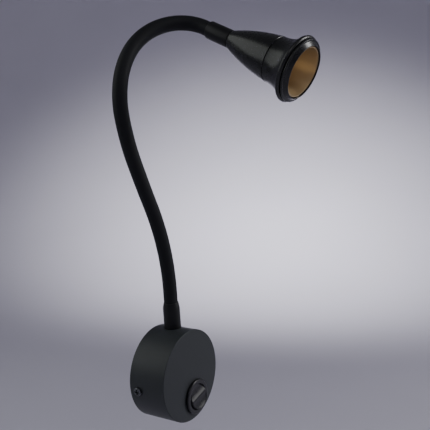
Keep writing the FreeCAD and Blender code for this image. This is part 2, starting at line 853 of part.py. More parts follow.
def neck_foot():
    """The threaded ferrule through the drum's top, its nut inside, and the black sleeve."""
    bottom = foot - Z * SIZES["thread_inside"]
    upright = Placement(bottom, Rotation())
    full = "thread_inside + thread_outside"
    thread = cylinder("ferrule_rod", "thread_dia / 2", full, upright)
    bore = cylinder("ferrule_bore", "thread_bore / 2", full, upright)
    finished(less("neck_ferrule", thread, bore), "neck_ferrule")

    # The nut's corners meet the drum's curved wall first.
    corner = worth("nut_flats / sqrt(3)")
    wall = worth("drum_dia / 2 - drum_wall - snug * 2")
    nut_top = math.sqrt(wall**2 - corner**2)
    nut_at = Placement(Vector(0, foot.y, nut_top - SIZES["nut_thick"]), Rotation())
    nut = doc.addObject("Part::Prism", "nut_blank")
    nut.Polygon = 6
    bind(nut, Circumradius="nut_flats / sqrt(3)", Height="nut_thick")
    nut.Placement = nut_at
    hole = cylinder("nut_thread", "thread_dia / 2 + snug", "nut_thick", nut_at)
    finished(less("neck_locknut", nut, hole), "neck_locknut")

    long = f"{LOW_SLEEVE_LONG} + low_sleeve_tuck"
    tube = sleeve("low_sleeve_tube", "low_sleeve_wall", long, False)
    tube.Placement = aimed(foot - headings[0] * SIZES["low_sleeve_tuck"], headings[0])
    drum = cylinder("sleeve_cope", "drum_dia / 2", "drum_depth", WALL_FRAME)
    finished(less("lower_sleeve", tube, drum), "lower_sleeve")


def sleeve(name, wall, long, lip_at_start):
    """A moulded collar round the neck, its outer edge softened where it ends on the neck."""
    bore = SLEEVE_BORE
    outer = f"{bore} + {wall}"
    if lip_at_start:
        points = [
            (bore, "0"),
            (f"{outer} - sleeve_lip", "0"),
            (outer, "sleeve_lip"),
            (outer, long),
            (bore, long),
        ]
        arcs = {1: ("sleeve_lip", 1)}
    else:
        points = [
            (bore, "0"),
            (outer, "0"),
            (outer, f"{long} - sleeve_lip"),
            (f"{outer} - sleeve_lip", long),
            (bore, long),
        ]
        arcs = {2: ("sleeve_lip", 1)}
    return turned(name, HERE, points, arcs)


# ---------------------------------------------------------------------------------------
# Head
# ---------------------------------------------------------------------------------------
def head_collar():
    """The sleeve behind the head, and the threaded end of the neck that it hides."""
    tube = sleeve("upper_sleeve", "top_sleeve_wall", f"{TOP_SLEEVE_LONG} - snug * 2", True)
    back = Placement(Vector(0, 0, -worth(TOP_SLEEVE_LONG)), Rotation())
    tube.Placement = HEAD_FRAME.multiply(back)
    finished(tube, "upper_sleeve")

    full = "head_thread_back + head_thread_in"
    start = HEAD_FRAME.multiply(Placement(Vector(0, 0, -SIZES["head_thread_back"]), Rotation()))
    thread = cylinder("head_thread", "thread_dia / 2", full, start)
    bore = cylinder("head_thread_bore", "thread_bore / 2", full, start)
    finished(less("head_ferrule", thread, bore), "head_ferrule")


def rear_cone():
    """The turned rear half of the head, which swells from the neck to the seam."""
    points = [
        ("thread_dia / 2 + snug", "0"),
        (f"{CONE_BACK_RADIUS} - cone_back_chamfer", "0"),
        (CONE_BACK_RADIUS, "cone_back_chamfer"),
        ("seam_radius", "cone_long"),
        (f"{SPIGOT_RADIUS} + snug", "cone_long"),
        (f"{SPIGOT_RADIUS} + snug", SPIGOT_START),
        (f"{SINK_RADIUS} + snug", SPIGOT_START),
        (f"{SINK_RADIUS} + snug", SINK_SEAT),
        (HOLLOW_END_RADIUS, SINK_SEAT),
        (HOLLOW_START_RADIUS, "cone_collar_long"),
        ("thread_dia / 2 + snug", "cone_collar_long"),
    ]
    finished(turned("rear_cone", HEAD_FRAME, points, {2: ("cone_bulge", 1)}), "rear_cone")


def front_bell():
    """The front half: a flare, a rolled bead, a stepped ring and the lip round the mouth."""
    points = [
        (SPIGOT_RADIUS, SPIGOT_START),
        (SPIGOT_RADIUS, BELL_START),
        ("seam_radius", BELL_START),
        ("bell_end_radius", BELL_END),
        (BEAD_FOOT_RADIUS, BELL_END),
        (BEAD_FOOT_RADIUS, BEAD_END),
        (GROOVE_RADIUS, BEAD_END),
        (GROOVE_RADIUS, RING_START),
        (f"{GROOVE_RADIUS} + ring_proud", RING_START),
        (f"{GROOVE_RADIUS} + ring_proud", RING_END),
        (LIP_START_RADIUS, RING_END),
        (LIP_END_RADIUS, LIP_END),
        (MOUTH_RADIUS, LIP_END),
        (MOUTH_RADIUS, f"{LIP_END} - mouth_collar"),
        (f"{LIP_START_RADIUS} - lip_wall", RING_END),
        ("bell_end_radius - bell_wall", BELL_END),
        ("seam_radius - bell_wall", f"{BELL_START} + bell_wall"),
        (f"{SPIGOT_RADIUS} - spigot_wall", BELL_START),
        (f"{SPIGOT_RADIUS} - spigot_wall", SPIGOT_START),
    ]
    arcs = {
        2: ("bell_flare", -1),
        4: ("((bead_long / 2) ^ 2 + bead_rise ^ 2) / (bead_rise * 2)", 1),
        15: ("bell_flare + bell_wall", 1),
    }
    finished(turned("front_bell", HEAD_FRAME, points, arcs), "front_bell")


def heat_sink():
    """An aluminium disc behind the light source, with radial fins down into the cone."""
    points = [
        ("bore_dia / 2", FIN_END),
        ("fin_end_radius", FIN_END),
        (f"{HOLLOW_END_RADIUS} - fin_clear", SINK_SEAT),
        (SINK_RADIUS, SINK_SEAT),
        (SINK_RADIUS, BOARD_BACK),
        ("bore_dia / 2", BOARD_BACK),
    ]
    body = turned("heat_sink", HEAD_FRAME, points)
    gap = new_sketch(body, "sink_gap", lift=FIN_END)
    near, far, side = "sink_core_radius", SINK_RADIUS, "sink_gap_wide / 2"
    outline(gap, [(near, f"-{side}"), (far, f"-{side}"), (far, side), (near, side)])
    cut = pocket(body, gap, "sink_gap_cut", "fin_long", reverse=True)
    fins = body.newObject("PartDesign::PolarPattern", "sink_gaps_round")
    fins.Originals = [cut]
    fins.Axis = (next(f for f in body.Origin.OriginFeatures if f.Role == "Z_Axis"), [""])
    fins.Angle = 360
    bind(fins, Occurrences="sink_gaps")
    body.Tip = fins
    top = Vector(worth(BOARD_SCREW_RING), 0, worth(SINK_SEAT))
    hole = drill(
        body, "sink_thread", "board_screw_dia / 2 + snug", "sink_base", Placement(top, Rotation())
    )
    mirror(body, "sink_threads", [hole], "YZ_Plane")
    finished(body, "heat_sink")


def light_source():
    """The round board with its light chip, screwed to the heat sink from the front."""
    def at(height, x=0.0):
        return HEAD_FRAME.multiply(Placement(Vector(x, 0, worth(height)), Rotation()))

    board = cylinder("board_disc", BOARD_RADIUS, "board_thick", at(BOARD_BACK))
    holes = []
    screws = []
    for side in (-1, 1):
        x = side * worth(BOARD_SCREW_RING)
        hole_at = at(BOARD_BACK, x)
        holes.append(
            cylinder(f"board_hole_{side + 1}", "board_screw_dia / 2 + snug", "board_thick", hole_at)
        )
        screws.append(
            pan_screw(
                f"board_screw_{side + 1}",
                "board_screw_head_dia / 2",
                "board_screw_head_tall",
                "board_screw_dia / 2",
                "board_screw_long",
                at(BOARD_FACE, x),
            )
        )
    finished(less("led_board", board, *holes), "led_board")
    finished(joined("board_screws", screws), "board_screws")
    finished(cylinder("led_chip", "chip_radius", "chip_thick", at(BOARD_FACE)), "led_chip")


def reflector():
    """The gold cup from the light source out to the mouth, a thin near-parabolic wall."""
    collar = f"{BOARD_FACE} + reflector_collar"
    front = f"{LIP_END} - mouth_collar"
    points = [
        (f"{REFLECTOR_BACK} - reflector_thick", BOARD_FACE),
        (REFLECTOR_BACK, BOARD_FACE),
        (REFLECTOR_BACK, collar),
        (REFLECTOR_RADIUS, front),
        (f"{REFLECTOR_RADIUS} - reflector_thick", front),
        (f"{REFLECTOR_BACK} - reflector_thick", collar),
    ]
    arcs = {
        2: ("reflector_bulge", 1),
        4: ("reflector_bulge - reflector_thick", -1),
    }
    finished(turned("reflector", HEAD_FRAME, points, arcs), "reflector")


base_cover()
wall_bracket()
cable_grommet()
cover_screws()
plate_screws()
terminal_block()
led_driver()
switch_housing()
switch_blades()
switch_rocker()
neck_foot()
for link in range(LAST_LINK + 1):
    neck_link(link)
head_collar()
rear_cone()
front_bell()
heat_sink()
light_source()
reflector()
doc.recompute()

# ---------------------------------------------------------------------------------------
# Check every object, then write each piece
# ---------------------------------------------------------------------------------------
for thing in doc.Objects:
    if "Invalid" in thing.State or "Error" in thing.State:
        raise RuntimeError(f"{thing.Name} failed: {thing.State}")
for thing in pieces:
    if thing.Shape.isNull() or not thing.Shape.isValid() or not thing.Shape.Solids:
        raise RuntimeError(f"{thing.Label} has no sound solid")

os.makedirs("parts", exist_ok=True)
for thing in pieces:
    thing.Shape.exportStep(f"parts/{thing.Label}.step")
print(f"{len(pieces)} pieces, head joint at {tuple(round(v, 3) for v in head_joint)}")
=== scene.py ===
import json
import math

import bmesh
import bpy
import numpy as np
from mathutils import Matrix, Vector


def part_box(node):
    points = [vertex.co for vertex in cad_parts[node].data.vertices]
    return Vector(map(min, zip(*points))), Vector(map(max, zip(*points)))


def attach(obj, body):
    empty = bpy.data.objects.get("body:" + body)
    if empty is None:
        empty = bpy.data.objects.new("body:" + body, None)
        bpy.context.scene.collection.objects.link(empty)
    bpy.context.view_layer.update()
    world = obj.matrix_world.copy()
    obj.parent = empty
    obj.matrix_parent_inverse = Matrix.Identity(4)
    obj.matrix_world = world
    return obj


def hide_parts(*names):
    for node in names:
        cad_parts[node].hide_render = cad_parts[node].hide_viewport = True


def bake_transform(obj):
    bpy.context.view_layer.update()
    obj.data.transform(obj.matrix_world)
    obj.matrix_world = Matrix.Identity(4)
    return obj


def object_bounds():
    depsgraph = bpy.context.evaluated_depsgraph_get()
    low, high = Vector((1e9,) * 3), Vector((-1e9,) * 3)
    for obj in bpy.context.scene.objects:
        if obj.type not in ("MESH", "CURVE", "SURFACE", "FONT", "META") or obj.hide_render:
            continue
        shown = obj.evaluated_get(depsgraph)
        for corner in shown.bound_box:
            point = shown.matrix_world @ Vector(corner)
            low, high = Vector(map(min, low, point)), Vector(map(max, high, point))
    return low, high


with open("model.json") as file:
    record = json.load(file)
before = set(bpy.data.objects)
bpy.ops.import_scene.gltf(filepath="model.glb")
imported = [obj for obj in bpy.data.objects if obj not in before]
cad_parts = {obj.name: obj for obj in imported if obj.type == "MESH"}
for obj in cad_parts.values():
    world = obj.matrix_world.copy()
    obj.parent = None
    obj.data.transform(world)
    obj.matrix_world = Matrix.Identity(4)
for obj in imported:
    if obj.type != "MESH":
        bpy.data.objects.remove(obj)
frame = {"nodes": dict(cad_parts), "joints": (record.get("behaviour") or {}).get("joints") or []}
cad_box = [list(corner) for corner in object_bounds()]


# --- Camera ---------------------------------------------------------------------------
# The lamp is seen from the left and a little from above, close enough that its head
# looks larger than its foot. No shift and no blur.
EYE = Vector((-0.3555, -0.2714, 0.14465))
BACKWARDS = Vector((-0.83976, -0.53508, 0.09210))
FOCAL_PIXELS = 682.19
PICTURE_PIXELS = 430
SENSOR_MM = 36.0
CLIP_NEAR = 0.01
CLIP_FAR = 50.0

camera_data = bpy.data.cameras.new("camera")
camera_data.sensor_width = SENSOR_MM
camera_data.lens = SENSOR_MM * FOCAL_PIXELS / PICTURE_PIXELS
camera_data.clip_start = CLIP_NEAR
camera_data.clip_end = CLIP_FAR
camera = bpy.data.objects.new("camera", camera_data)
camera.location = EYE
camera.rotation_euler = (-BACKWARDS).to_track_quat("-Z", "Y").to_euler()
bpy.context.scene.collection.objects.link(camera)
bpy.context.scene.camera = camera


# --- Studio ---------------------------------------------------------------------------
# A pale floor well below the lamp sweeps up into a wall all round. One light makes a soft
# pool on it behind the lamp; the others are large and soft, the main one behind the lamp's
# left side, where the head mirrors it.
FLOOR_DROP = 0.22
FLAT_RADIUS = 1.1
SWEEP_RADIUS = 1.4
SWEEP_HEIGHT = 2.6
PAPER_LIGHT = "#D0CDDB"
PAPER_DARK = "#CAC7D5"
PAPER_MOTTLES_PER_METRE = 4.0
PAPER_ROUGHNESS = 0.9
SURROUND_HEX = "#B9B9C6"
SURROUND_STRENGTH = 0.22


def colour(code):
    """Turns an sRGB hex code into linear red, green and blue, with alpha 1."""
    srgb = np.array([int(code[at:at + 2], 16) for at in (1, 3, 5)]) / 255.0
    linear = np.where(srgb <= 0.04045, srgb / 12.92, ((srgb + 0.055) / 1.055) ** 2.4)
    return (*[float(v) for v in linear], 1.0)


def put(tree, kind, inputs=None, **settings):
    """Adds one node. Settings are its options; inputs are values, or sockets to link."""
    made = tree.nodes.new(kind)
    for name, value in settings.items():
        setattr(made, name, value)
    for name, value in (inputs or {}).items():
        if isinstance(value, bpy.types.NodeSocket):
            tree.links.new(value, made.inputs[name])
        else:
            made.inputs[name].default_value = value
    return made


def new_material(name):
    """An empty node material and its tree."""
    material = bpy.data.materials.new(name)
    material.use_nodes = True
    material.node_tree.nodes.clear()
    return material, material.node_tree


def matt_paper():
    """Seamless studio paper: matt, with a very faint mottle."""
    material, tree = new_material("studio_paper")
    place = put(tree, "ShaderNodeTexCoord")
    mottle = put(
        tree,
        "ShaderNodeTexNoise",
        {"Vector": place.outputs["Object"], "Scale": PAPER_MOTTLES_PER_METRE},
    )
    tint = put(
        tree,
        "ShaderNodeMix",
        {"Factor": mottle.outputs["Fac"], "A": colour(PAPER_DARK), "B": colour(PAPER_LIGHT)},
        data_type="RGBA",
    )
    shader = put(
        tree,
        "ShaderNodeBsdfPrincipled",
        {"Base Color": tint.outputs["Result"], "Roughness": PAPER_ROUGHNESS},
    )
    put(tree, "ShaderNodeOutputMaterial", {"Surface": shader.outputs["BSDF"]})
    return material


def sweep_grid(height, around=128):
    """A flat floor, then a quarter circle up to a wall, all turned about the z axis.

    At an angle c up the quarter circle, a point is the flat floor's radius plus the
    sweep's radius times sin c out, and the sweep's radius times 1 - cos c up.
    """
    turn = np.linspace(0.0, 2.0 * np.pi, around, endpoint=False)
    climb = np.linspace(0.0, np.pi / 2, 48)
    out = np.hstack([0.0, FLAT_RADIUS + SWEEP_RADIUS * np.sin(climb), FLAT_RADIUS + SWEEP_RADIUS])
    up = np.hstack([0.0, SWEEP_RADIUS * (1 - np.cos(climb)), SWEEP_HEIGHT])
    out, up = out[:, None], height + up[:, None]
    return np.stack([out * np.cos(turn), out * np.sin(turn), up + 0 * turn], axis=2)


MERGE_WITHIN = 2e-7
SHARP_OVER = math.radians(30)


def surface(name, grid, loop=False):
    """A mesh from a grid of points: each row joins round to its start and to the next row.

    With loop, the last row also joins the first. Points that fall together are merged,
    so a row at the axis closes into a pole. Edges over 30 degrees stay sharp.
    """
    rows, columns = grid.shape[:2]
    here = np.arange(rows if loop else rows - 1)[:, None]
    ahead = (here + 1) % rows
    across = np.arange(columns)[None, :]
    beside = (across + 1) % columns
    corners = [here * columns + across, here * columns + beside]
    corners += [ahead * columns + beside, ahead * columns + across]
    quads = np.stack(corners, axis=2).reshape(-1, 4)
    mesh = bpy.data.meshes.new(name)
    mesh.from_pydata(grid.reshape(-1, 3).tolist(), [], quads.tolist())
    tidy = bmesh.new()
    tidy.from_mesh(mesh)
    bmesh.ops.remove_doubles(tidy, verts=tidy.verts, dist=MERGE_WITHIN)
    bmesh.ops.recalc_face_normals(tidy, faces=tidy.faces)
    tidy.to_mesh(mesh)
    tidy.free()
    mesh.shade_smooth()
    mesh.set_sharp_from_angle(angle=SHARP_OVER)
    made = bpy.data.objects.new(name, mesh)
    bpy.context.scene.collection.objects.link(made)
    return made


floor_height = cad_box[0][2] - FLOOR_DROP
floor = surface("studio_floor", sweep_grid(floor_height))
if floor.data.polygons[0].normal.z < 0:
    floor.data.flip_normals()
floor.data.materials.append(matt_paper())

surround = bpy.data.worlds.new("studio")
surround.use_nodes = True
surround.node_tree.nodes.clear()
sky = put(
    surround.node_tree,
    "ShaderNodeBackground",
    {"Color": colour(SURROUND_HEX), "Strength": SURROUND_STRENGTH},
)
put(surround.node_tree, "ShaderNodeOutputWorld", {"Surface": sky.outputs["Background"]})
bpy.context.scene.world = surround

LAMP_MIDDLE = (0.0, -0.03, 0.10)
POOL_MIDDLE = (1.58, 0.74, -0.10)
WHITE = (1.0, 1.0, 1.0)
FAINT_GREEN = (0.95, 1.0, 0.94)
# Each light's place, the point it faces, its side, its watts, its spread and its tint.
SOFT_LIGHTS = {
    "high": ((-0.75, -0.75, 1.05), LAMP_MIDDLE, 0.80, 2.0, 180, WHITE),
    "rear": ((-0.66, 0.80, 0.68), LAMP_MIDDLE, 1.20, 4.6, 180, FAINT_GREEN),
    "right": ((0.90, -1.10, 0.45), LAMP_MIDDLE, 0.70, 3.2, 180, WHITE),
    "front": ((0.75, -1.05, 0.85), LAMP_MIDDLE, 0.40, 6.5, 180, WHITE),
    "pool": ((0.78, 0.28, 0.98), POOL_MIDDLE, 0.40, 6.6, 72, WHITE),
}

for light_name, (place, aim, across, watts, spread, tint) in SOFT_LIGHTS.items():
    panel = bpy.data.lights.new(light_name + "_light", "AREA")
    panel.shape = "SQUARE"
    panel.size = across
    panel.energy = watts
    panel.spread = math.radians(spread)
    panel.color = tint
    holder = bpy.data.objects.new(light_name + "_light", panel)
    holder.location = place
    facing = Vector(aim) - Vector(place)
    holder.rotation_euler = facing.to_track_quat("-Z", "Y").to_euler()
    bpy.context.scene.collection.objects.link(holder)


# --- Wall bracket and what is fixed to it -----------------------------------------------
# A pressed steel disc with bent ears, zinc plated; the cable grommet, the terminal block
# and the earth screw sit on it. It stays as built, and shows only from behind.
MM = 0.001
GRAIN_DETAIL = 3.0
SMOOTHEST_SHARE = 0.9
ROUGHEST_SHARE = 1.1


def dress(material, *names):
    """Gives CAD nodes their material."""
    for name in names:
        slots = frame["nodes"][name].data.materials
        slots.clear()
        slots.append(material)


def grained(name, light, dark, grain_mm, roughness, metallic=0.0, bump=0.0, **shader_inputs):
    """A surface mottled between two colours at a grain size, which also gives its relief."""
    material, tree = new_material(name)
    place = put(tree, "ShaderNodeTexCoord")
    grain = put(
        tree,
        "ShaderNodeTexNoise",
        {
            "Vector": place.outputs["Object"],
            "Scale": 1.0 / (grain_mm * MM),
            "Detail": GRAIN_DETAIL,
        },
    )
    tint = put(
        tree,
        "ShaderNodeMix",
        {"Factor": grain.outputs["Fac"], "A": colour(dark), "B": colour(light)},
        data_type="RGBA",
    )
    gloss = put(
        tree,
        "ShaderNodeMapRange",
        {
            "Value": grain.outputs["Fac"],
            "To Min": roughness * SMOOTHEST_SHARE,
            "To Max": roughness * ROUGHEST_SHARE,
        },
    )
    relief = put(
        tree,
        "ShaderNodeBump",
        {"Height": grain.outputs["Fac"], "Strength": bump, "Distance": grain_mm * MM},
    )
    shader = put(
        tree,
        "ShaderNodeBsdfPrincipled",
        {
            "Base Color": tint.outputs["Result"],
            "Roughness": gloss.outputs["Result"],
            "Metallic": metallic,
            "Normal": relief.outputs["Normal"],
            **shader_inputs,
        },
    )
    put(tree, "ShaderNodeOutputMaterial", {"Surface": shader.outputs["BSDF"]})
    return material


# Zinc plating leaves a cool grey metal with faint cloudy spangle a few millimetres wide.
zinc_plate = grained("zinc_plated_steel", "#B9BCC0", "#9A9DA2", 3.0, 0.38, metallic=1.0, bump=0.03)
# Moulded rubber is dead matt and nearly black.
rubber = grained("moulded_rubber", "#1C1C1D", "#141415", 0.6, 0.8, bump=0.15)
# Turned brass is warm and fairly bright.
brass = grained("turned_brass", "#C7A25C", "#B08B49", 1.0, 0.28, metallic=1.0, bump=0.04)
# Natural polyamide is a milky off-white with a soft gloss.
polyamide = grained("natural_polyamide", "#E6E2D4", "#DCD7C6", 2.0, 0.45, bump=0.02)
# White polycarbonate: the driver's case, with a fine spark-eroded grain.
polycarbonate = grained("white_polycarbonate", "#E9E9E6", "#DEDEDA", 0.5, 0.5, bump=0.1)
dress(zinc_plate, "wall_bracket", "block_screw", "clamp_screws", "neck_locknut")
dress(rubber, "cable_grommet")
dress(polyamide, "terminal_block")
dress(polycarbonate, "led_driver")
dress(brass, "earth_screw", "neck_ferrule", "head_ferrule", "switch_blades")


# --- Wall box cover --------------------------------------------------------------------
# A spun and powder-coated steel cap, dark graphite and satin, its front edge only just
# softened. The round switch window is cut off centre in its face.
EDGE_SOFT = 0.5 * MM
SHEET = 1.6 * MM
FACE_SHEET = 2.0 * MM
HEM_SOFT = 0.2 * MM
INNER_SOFT = 0.3 * MM
WINDOW_RADIUS = 10.1 * MM
WALL_TO_ROW = np.array([[1.0, 0.0, 0.0], [0.0, 0.0, 1.0], [0.0, -1.0, 0.0]])

low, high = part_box("base_cover")
DRUM_RADIUS = high.x
DRUM_DEPTH = high.y - low.y
rock_joint = next(j for j in frame["joints"] if j["name"] == "switch_rock")
SWITCH_RIGHT, _, SWITCH_UP = rock_joint["pos_m"]

CUT_AT_MOST = 0.48
SAME_SPOT = 1e-9


def softened(corners, steps=7):
    """An outline of (across, along, radius) corners, each rounded by its radius.

    A corner gives way to a parabola that leaves and meets its two sides where a round of
    that radius would, within just under half of either; a radius of 0 leaves it sharp.
    """
    corners = np.array(corners, float)
    spots, radii = corners[:, :2], corners[:, 2]
    back = np.roll(spots, 1, axis=0) - spots
    ahead = np.roll(spots, -1, axis=0) - spots
    back_long = np.linalg.norm(back, axis=1)
    ahead_long = np.linalg.norm(ahead, axis=1)
    back /= back_long[:, None]
    ahead /= ahead_long[:, None]
    half = np.arccos(np.clip((back * ahead).sum(1), -1.0, 1.0)) / 2
    longest = CUT_AT_MOST * np.minimum(back_long, ahead_long)
    cut = np.minimum(radii / np.tan(half), longest)[:, None]
    share = np.linspace(0.0, 1.0, steps)[None, :, None]
    start, end = (spots + back * cut)[:, None], (spots + ahead * cut)[:, None]
    curve = (1 - share) ** 2 * start + 2 * share * (1 - share) * spots[:, None] + share**2 * end
    curve = curve.reshape(-1, 2)
    moved = np.linalg.norm(curve - np.roll(curve, 1, axis=0), axis=1) > SAME_SPOT
    return curve[moved]


def bowed(start, end, radius, count=24):
    """Corners along an arc between two points; a positive radius bows it to the left."""
    start, end = np.array(start, float), np.array(end, float)
    chord = end - start
    length = np.linalg.norm(chord)
    left = np.array([-chord[1], chord[0]]) / length
    rise = math.copysign(math.sqrt(radius**2 - length**2 / 4), radius)
    middle = (start + end) / 2 - left * rise
    first, last = (np.arctan2(*(spot - middle)[::-1]) for spot in (start, end))
    sweep = (last - first + np.pi) % (2 * np.pi) - np.pi
    angle = first + sweep * np.linspace(0.0, 1.0, count)
    spots = middle + abs(radius) * np.stack([np.cos(angle), np.sin(angle)], axis=1)
    return [(*spot, 0.0) for spot in spots]


def spun(outline, around=160):
    """Turns an outline of (radius, height) points about the z axis."""
    turn = np.linspace(0.0, 2.0 * np.pi, around, endpoint=False)
    out, up = outline[:, :1], outline[:, 1:]
    return np.stack([out * np.cos(turn), out * np.sin(turn), up + 0 * turn], axis=2)


def on_wall(grid, x=0.0, z=0.0):
    """Carries points from a frame with x right, y up and z out of the wall to the row's."""
    return grid @ WALL_TO_ROW + np.array([x, 0.0, z])


def finish_piece(piece, material, body, slot, *replaced):
    """Gives a piece its material and its body, and hides the CAD nodes it stands for; slot is not
    used.
    """
    piece.data.materials.append(material)
    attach(piece, body)
    if replaced:
        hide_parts(*replaced)


def cover_grid():
    """The cap: a closed wall section turned about the drum, then the face filled in.

    The section runs from the window's ring of points outwards over the face, the side,
    back up the inside and in again. Rows on the face slide from the drum's axis to the
    window's, in step with how near they are to the window's edge.
    """
    section = softened(
        [
            (WINDOW_RADIUS, DRUM_DEPTH, 0.0),
            (DRUM_RADIUS, DRUM_DEPTH, EDGE_SOFT),
            (DRUM_RADIUS, 0.0, HEM_SOFT),
            (DRUM_RADIUS - SHEET, 0.0, HEM_SOFT),
            (DRUM_RADIUS - SHEET, DRUM_DEPTH - FACE_SHEET, INNER_SOFT),
            (WINDOW_RADIUS, DRUM_DEPTH - FACE_SHEET, 0.0),
        ]
    )
    grid = spun(section, 256)
    reach = DRUM_RADIUS - 2 * SHEET - WINDOW_RADIUS
    near = np.clip(1 - (section[:, 0] - WINDOW_RADIUS) / reach, 0.0, 1.0)
    grid[:, :, 0] += (SWITCH_RIGHT * near)[:, None]
    grid[:, :, 1] += (SWITCH_UP * near)[:, None]
    return grid


def powder_coat():
    """Baked powder: dark graphite, satin, with the fine peel that it cures to."""
    return grained("graphite_powder_coat", "#2F3335", "#2A2E30", 0.7, 0.48, bump=0.06, IOR=1.47)


cover = surface("drum_cover", on_wall(cover_grid()), loop=True)
finish_piece(cover, powder_coat(), "base", "powder_coat", "base_cover")


# --- Cover screws ----------------------------------------------------------------------
# Two black pan-head screws, one on each side of the cover, a little below its middle.
# They are pressed and blackened, with a cross recess, and scuffed a little lighter here and there.
SCREW_HEAD = 2.8 * MM
SCREW_HEAD_TALL = 1.8 * MM
SCREW_SHANK = 1.5 * MM
SCREW_LONG = 7.5 * MM
RECESS_HALF = 0.42 * MM
RECESS_REACH = 1.75 * MM
RECESS_DEEP = 0.9 * MM
RECESS_EASE = 0.1 * MM
CROWN_SHARES = np.linspace(0.05, 0.97, 30)
SCREW_SINK = math.radians(10.4)
SCREW_OFF_WALL = 6.5 * MM


def pan_head_grid():
    """A screw turned from its section; the top rows then sink in the shape of a cross.

    A point sinks by the recess depth where it is inside both the arms' half width and
    their reach, eased over a short ramp.
    """
    section = softened(
        [
            (0.0, -SCREW_LONG, 0.0),
            (SCREW_SHANK, -SCREW_LONG, 0.3 * MM),
            (SCREW_SHANK, 0.0, 0.0),
            (SCREW_HEAD, 0.0, 0.15 * MM),
            (SCREW_HEAD, SCREW_HEAD_TALL * 0.8, 0.8 * MM),
            (0.0, SCREW_HEAD_TALL, 0.0),
        ]
    )
    edge = section[-2]
    crown = edge * (1 - CROWN_SHARES)[:, None]
    crown[:, 1] = edge[1] + (SCREW_HEAD_TALL - edge[1]) * CROWN_SHARES
    grid = spun(np.vstack([section[:-1], crown, section[-1:]]), 120)
    x, y = np.abs(grid[:, :, 0]), np.abs(grid[:, :, 1])
    in_arm = np.clip((RECESS_HALF - np.minimum(x, y)) / RECESS_EASE + 0.5, 0.0, 1.0)
    in_reach = np.clip((RECESS_REACH - np.maximum(x, y)) / RECESS_EASE + 0.5, 0.0, 1.0)
    grid[:, :, 2] -= RECESS_DEEP * in_arm * in_reach * (grid[:, :, 2] > SCREW_HEAD_TALL / 2)
    return grid


def black_oxide():
    """Blackened steel: a dark metal that still shines, scuffed a little lighter."""
    return grained("black_oxide_steel", "#77797C", "#3A3C3F", 0.9, 0.28, metallic=0.9, bump=0.05)


screw_finish = black_oxide()
for side_name, side in (("right", 1.0), ("left", -1.0)):
    outwards = np.array([side * math.cos(SCREW_SINK), 0.0, -math.sin(SCREW_SINK)])
    upwards = np.array([side * math.sin(SCREW_SINK), 0.0, math.cos(SCREW_SINK)])
    axes = np.stack([np.cross(upwards, outwards), upwards, outwards])
    seat = outwards * DRUM_RADIUS + np.array([0.0, -SCREW_OFF_WALL, 0.0])
    screw = surface("cover_screw_" + side_name, pan_head_grid() @ axes + seat)
    finish_piece(screw, screw_finish, "base", "black_steel", "cover_screws")


# --- Rocker switch ---------------------------------------------------------------------
# A round snap-in switch of glossy black nylon: a fat bezel, and a rocker whose two dished
# halves meet in a ridge. It sits turned in its hole, and its top half is pressed in.
BEZEL_RADIUS = 11.5 * MM
BEZEL_TALL = 2.0 * MM
BARREL_RADIUS = 9.9 * MM
BARREL_DEEP = 14.0 * MM
WELL_RADIUS = 8.5 * MM
WELL_DEEP = 7.0 * MM
ROCKER_RADIUS = 8.25 * MM
ROCKER_RISE = 2.8 * MM
ROCKER_UNDER = 2.6 * MM
ROCKER_SUNK = 1.8 * MM
ROCKER_EDGE = 0.35 * MM
ROCKER_EDGE_DROP = 0.45 * ROCKER_EDGE
DISH_RADIUS = 13.0 * MM
DISH_DEEP = 0.55 * MM
DISH_MIDDLE = 4.25 * MM
ROCKER_TILT = math.radians(12.0)

SWITCH_TURN = math.atan2(rock_joint["axis"][2], rock_joint["axis"][0])


def turned_by(grid, angle, first=0, second=1):
    """Turns points by an angle, from their first axis towards their second."""
    out = grid.copy()
    out[..., first] = grid[..., first] * math.cos(angle) - grid[..., second] * math.sin(angle)
    out[..., second] = grid[..., first] * math.sin(angle) + grid[..., second] * math.cos(angle)
    return out


def dish(y):
    """How deep the rocker's face is hollowed at a distance y from its ridge line."""
    off = np.clip(np.abs(np.abs(y) - DISH_MIDDLE), 0.0, DISH_RADIUS)
    return np.clip(DISH_DEEP - (DISH_RADIUS - np.sqrt(DISH_RADIUS**2 - off**2)), 0.0, None)


def rocker_grid():
    """A ball's belt, closed flat below; above, rows run in to the middle and are dished."""
    low_angle = math.asin(-ROCKER_UNDER / ROCKER_RADIUS)
    high_angle = math.asin(ROCKER_RISE / ROCKER_RADIUS)
    belt_angle = np.linspace(low_angle, high_angle, 22)
    belt = ROCKER_RADIUS * np.stack([np.cos(belt_angle), np.sin(belt_angle)], axis=1)
    rim = belt[-1, 0]
    inward = np.linspace(1.0, 0.0, 60)[1:, None]
    soft = np.clip((rim - rim * inward) / ROCKER_EDGE, 0.0, 1.0)
    belt[:, 1] = np.minimum(belt[:, 1], ROCKER_RISE - ROCKER_EDGE_DROP)
    face = np.hstack([rim * inward, ROCKER_RISE - ROCKER_EDGE_DROP * (1 - soft) ** 2])
    under = np.array([[0.0, -ROCKER_UNDER]])
    grid = spun(np.vstack([under, belt, face]), 240)
    on_face = np.arange(len(grid)) > len(belt)
    grid[on_face, :, 2] -= dish(grid[on_face, :, 1])
    return grid


def in_switch(grid, tilted):
    """Carries points from the switch's own frame to the row's, tilted with the rocker or not."""
    if tilted:
        grid = turned_by(grid, -ROCKER_TILT, 1, 2)
        grid = grid + np.array([0.0, 0.0, DRUM_DEPTH + BEZEL_TALL - ROCKER_SUNK])
    return on_wall(turned_by(grid, SWITCH_TURN), SWITCH_RIGHT, SWITCH_UP)


def glossy_nylon():
    """Moulded nylon: black and glossy, with the faint waviness of a moulding."""
    return grained("glossy_black_nylon", "#17171A", "#101013", 2.5, 0.30, bump=0.015, IOR=1.53)


